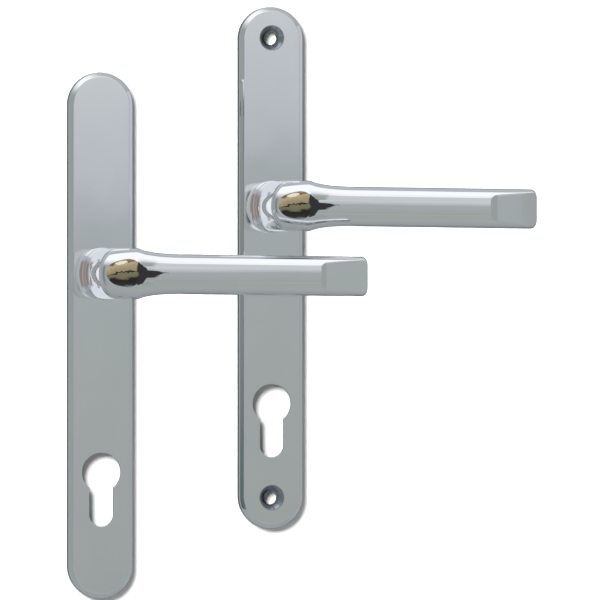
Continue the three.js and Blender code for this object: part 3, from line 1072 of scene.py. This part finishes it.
def side_card(name, middle, towards, width, height, stops, beyond=None):
    """A one-sided card whose tone changes with height, as (share of height, colour) stops.

    Only what is further off than beyond, in metres, reflects it.
    """
    item = card(name, middle, towards, width, height)

    def paint(shader, place):
        wander = shader.span(shader.noise(place, 30, 3, 0.6), 0.25, 0.75, -0.006, 0.006)
        level = shader.math("ADD", shader.split(place)["Y"], wander)
        level = shader.math("ADD", shader.math("DIVIDE", level, height), 0.5)
        if beyond is None:
            return shader.ramp(level, stops), None
        ray = shader.add("ShaderNodeLightPath").outputs["Ray Length"]
        return shader.ramp(level, stops), shader.math("GREATER_THAN", ray, beyond)

    show_in_reflections(item, paint)


def ellipse(shader, across, up, middle, radii):
    """The squared reach from an ellipse's middle: 1 on its edge."""
    total = 0.0
    for value, at, radius in zip((across, up), middle, radii):
        share = shader.math("DIVIDE", shader.math("SUBTRACT", value, at), radius)
        total = shader.math("ADD", total, shader.math("MULTIPLY", share, share))
    return total


def elbow_card(side):
    """A small warm and dark card close to the elbow; only what is very near reflects it."""
    size = 46
    middle = (HALVES[side] + Vector((2, FACE_Y - CAP_TOP - 12, 3))) * MM
    towards = middle + Vector((0, 1, 0))
    item = card(side + "_elbow_card", middle, towards, size * MM, size * MM)

    def paint(shader, place):
        parts = shader.split(place)
        right = shader.math("MULTIPLY", parts["X"], -1000.0)
        up = shader.math("MULTIPLY", parts["Y"], 1000.0)
        drift = shader.span(shader.noise(place, 90, 3, 1.0), 0.25, 0.75, -2.2, 2.2)
        level = shader.math("SUBTRACT", up, shader.math("MULTIPLY", right, 0.2))
        level = shader.math("ADD", level, drift)
        stops = [
            (0.0, tone(120, 128, 134)),
            (0.1, tone(50, 48, 48)),
            (0.3, tone(44, 38, 36)),
            (0.36, tone(112, 112, 88)),
            (0.45, tone(122, 116, 92)),
            (0.462, tone(34, 30, 28)),
            (0.478, tone(34, 30, 28)),
            (0.49, tone(146, 134, 108)),
            (0.64, tone(174, 156, 126)),
            (0.72, tone(190, 170, 138)),
            (0.78, tone(112, 88, 66)),
            (0.86, tone(146, 128, 106)),
            (1.0, tone(170, 168, 168)),
        ]
        warm = shader.ramp(shader.math("ADD", shader.math("DIVIDE", level, size), 0.5), stops)
        pale = shader.span(ellipse(shader, right, level, (-5.5, 13.5), (6.0, 3.4)), 1.15, 0.85)
        warm = shader.mix(pale, warm, tone(240, 228, 204))
        crease = shader.math("SUBTRACT", right, 10.0)
        crease = shader.math("ADD", crease, shader.math("MULTIPLY", drift, 0.6))
        color = shader.mix(shader.span(crease, -2.0, -0.5), warm, tone(52, 50, 52))

        # an oval on the left, and a narrow wedge to its right
        oval = shader.span(ellipse(shader, right, up, (-4.0, -1.0), (15.5, 23.0)), 1.06, 0.98)
        reach = shader.span(right, 21.5, 9.0, 0.4, 15.0)
        middle_line = shader.math("ADD", shader.math("MULTIPLY", drift, 1.2), 3.5)
        height = shader.math("ABSOLUTE", shader.math("ADD", up, middle_line))
        wedge = shader.span(shader.math("SUBTRACT", height, reach), 0.6, -0.6)
        wedge = shader.math("MULTIPLY", wedge, shader.span(right, 8.0, 9.0))
        shape = shader.math("MAXIMUM", oval, wedge)
        ray = shader.add("ShaderNodeLightPath").outputs["Ray Length"]
        return color, shader.math("MULTIPLY", shape, shader.math("LESS_THAN", ray, 0.022))

    show_in_reflections(item, paint, ELBOW_GLOW, one_sided=False)


def foot_card(side):
    """A ringed card ahead of the foot, which the neck shows by way of the plate."""
    middle = (HALVES[side] + Vector((0.7, FACE_Y - 60, 0))) * MM
    item = card(side + "_foot_card", middle, middle + Vector((0, 1, 0)), 0.07, 0.07)

    def paint(shader, place):
        from_middle = shader.add("ShaderNodeVectorMath", {0: place}, operation="LENGTH")
        reach = shader.math("MULTIPLY", from_middle.outputs["Value"], 1000.0)
        wander = shader.span(shader.noise(place, 120, 3, 0.8), 0.25, 0.75, -0.5, 0.5)
        ring = shader.math("DIVIDE", shader.math("ADD", reach, wander), 35.0)
        stops = [
            (0.55, tone(48, 50, 56)),
            (0.625, tone(70, 66, 68)),
            (0.64, tone(150, 122, 112)),
            (0.685, tone(166, 140, 128)),
            (0.70, tone(110, 108, 112)),
            (0.715, tone(228, 231, 236)),
            (0.93, tone(238, 240, 244)),
        ]
        # the warm part lies at the height of the foot's middle only
        level = shader.math("MULTIPLY", shader.split(place)["Y"], 1000.0)
        outer = shader.span(shader.math("ABSOLUTE", level), 13.0, 18.0)
        color = shader.mix(outer, shader.ramp(ring, stops), tone(222, 225, 231))
        inner_edge = shader.span(reach, 17.0, 19.0)
        shape = shader.math("MULTIPLY", shader.span(reach, 35.0, 33.0), inner_edge)
        turns = shader.add("ShaderNodeLightPath").outputs["Glossy Depth"]
        return color, shader.math("MULTIPLY", shape, shader.math("GREATER_THAN", turns, 1.5))

    show_in_reflections(item, paint)


def foot_reflection_ring(side):
    """Part of a glowing ring beside the foot, seen from within and only in near reflections: a
    painted reflection, warm near the plate, dark further out.
    """
    radius, near_y, far_y, steps = 17, -8.2, -19, 32
    points = []
    for x, z in arc((0, 0), radius, math.radians(132), math.radians(228), steps):
        points += [(x * MM, near_y * MM, z * MM), (x * MM, far_y * MM, z * MM)]
    faces = [(2 * i, 2 * i + 1, 2 * i + 3, 2 * i + 2) for i in range(steps)]
    mesh = bpy.data.meshes.new(side + "_foot_reflection_ring")
    mesh.from_pydata(points, [], faces)
    item = staged(side + "_foot_reflection_ring", mesh, HALVES[side] * MM)

    # painted reflection: warm and dark bands that the foot shows as a crescent
    def paint(shader, place):
        parts = shader.split(place)
        out = shader.math("MULTIPLY", parts["Y"], -1000.0)
        level = shader.math("ABSOLUTE", shader.math("MULTIPLY", parts["Z"], 1000.0))
        warm = shader.mix(
            shader.span(level, 8.0, 11.0), tone(146, 126, 118), tone(176, 179, 188)
        )
        color = shader.mix(shader.span(out, 13.0, 15.0), warm, tone(72, 74, 82))
        ray = shader.add("ShaderNodeLightPath").outputs["Ray Length"]
        return color, shader.math("LESS_THAN", ray, 0.008)

    show_in_reflections(item, paint)


plate_gradient()

# The right-hand bevels see these cards.
BEVEL_STOPS = [
    (0.0, tone(156, 162, 162)),
    (0.64, tone(158, 165, 165)),
    (0.70, tone(168, 174, 178)),
    (0.76, tone(182, 186, 193)),
    (1.0, tone(190, 193, 200)),
]
for side, at in HALVES.items():
    middle = (at + Vector((40, -1, -28.5))) * MM
    towards = middle - Vector((1, 0, 0))
    side_card(side + "_right_gradient", middle, towards, 0.014, 0.25, BEVEL_STOPS)

# The inside plate's left bevel sees this one, which lies against the back of the outside plate.
LEFT_STOPS = [
    (0.0, tone(90, 98, 101)),
    (0.2, tone(92, 104, 103)),
    (0.34, tone(112, 118, 119)),
    (0.5, tone(124, 129, 131)),
    (0.7, tone(128, 131, 130)),
    (1.0, tone(146, 149, 148)),
]
LEFT_AT = Vector((-0.0845, -0.0178, -0.06))
side_card("left_gradient", LEFT_AT, (LEFT_AT.x, 1, LEFT_AT.z), 0.028, 0.24, LEFT_STOPS)

# The levers' elbows and feet see the rest.
FLANK_STOPS = [
    (0.0, tone(214, 218, 224)),
    (0.5, tone(236, 238, 242)),
    (1.0, tone(214, 218, 224)),
]
for side, at in HALVES.items():
    elbow_card(side)
    foot_card(side)
    foot_reflection_ring(side)
    middle = (at + Vector((-19.4, 4.2, 0))) * MM
    towards = middle - Vector((0, 1, 0))
    side_card(side + "_flank_card", middle, towards, 0.0045, 0.024, FLANK_STOPS, beyond=0.03)


def stage_paint(name, low, high, one_sided):
    """A matt paint for the backdrop and floor; the backdrop can't be seen from behind."""
    material = bpy.data.materials.new(name)
    shader = Shader(material)
    place = shader.add("ShaderNodeTexCoord").outputs["Object"]
    mottle = shader.noise(place, 3, 2)
    color = shader.ramp(mottle, [(0.0, tone(low)), (1.0, tone(high))])
    matt = shader.add("ShaderNodeBsdfDiffuse", {"Color": color}).outputs["BSDF"]
    if one_sided:
        matt = seen_from_front(shader, matt)
    shader.add("ShaderNodeOutputMaterial", {"Surface": matt})
    return material


floor = card("floor", (0, 0, -0.215), (0, 0, 1), 4, 4)
floor.data.materials.append(stage_paint("floor_paint", 232, 237, False))
floor.visible_glossy = False

# The backdrop stands right behind each half, so it is nearer behind the outside half.
backdrop_paint = stage_paint("backdrop_paint", 136, 138, True)
for name, left, right, y in (
    ("backdrop_inside", -0.045, 0.2, 0.0045),
    ("backdrop_outside", -0.2, -0.045, -0.0135),
):
    middle = Vector(((left + right) / 2, y, -0.045))
    backdrop = card(name, middle, middle - Vector((0, 1, 0)), right - left, 0.34)
    backdrop.data.materials.append(backdrop_paint)
    backdrop.visible_glossy = False
    backdrop.visible_diffuse = False
    backdrop.visible_shadow = False


def lamp(name, location, size, power):
    """A round lamp that lights the stage and isn't itself reflected."""
    data = bpy.data.lights.new(name, "AREA")
    data.shape = "DISK"
    data.size = size
    data.energy = power
    item = bpy.data.objects.new(name, data)
    item.location = location
    aim = Vector(location) - Vector((0, 0, -0.05))
    item.rotation_euler = aim.to_track_quat("Z", "Y").to_euler()
    item.visible_glossy = False
    bpy.context.scene.collection.objects.link(item)


lamp("key", (-1.2, -2.8, 0.62), 0.85, 540)
for side in HALVES:
    bpy.data.objects[side + "_lever_form"].visible_shadow = False
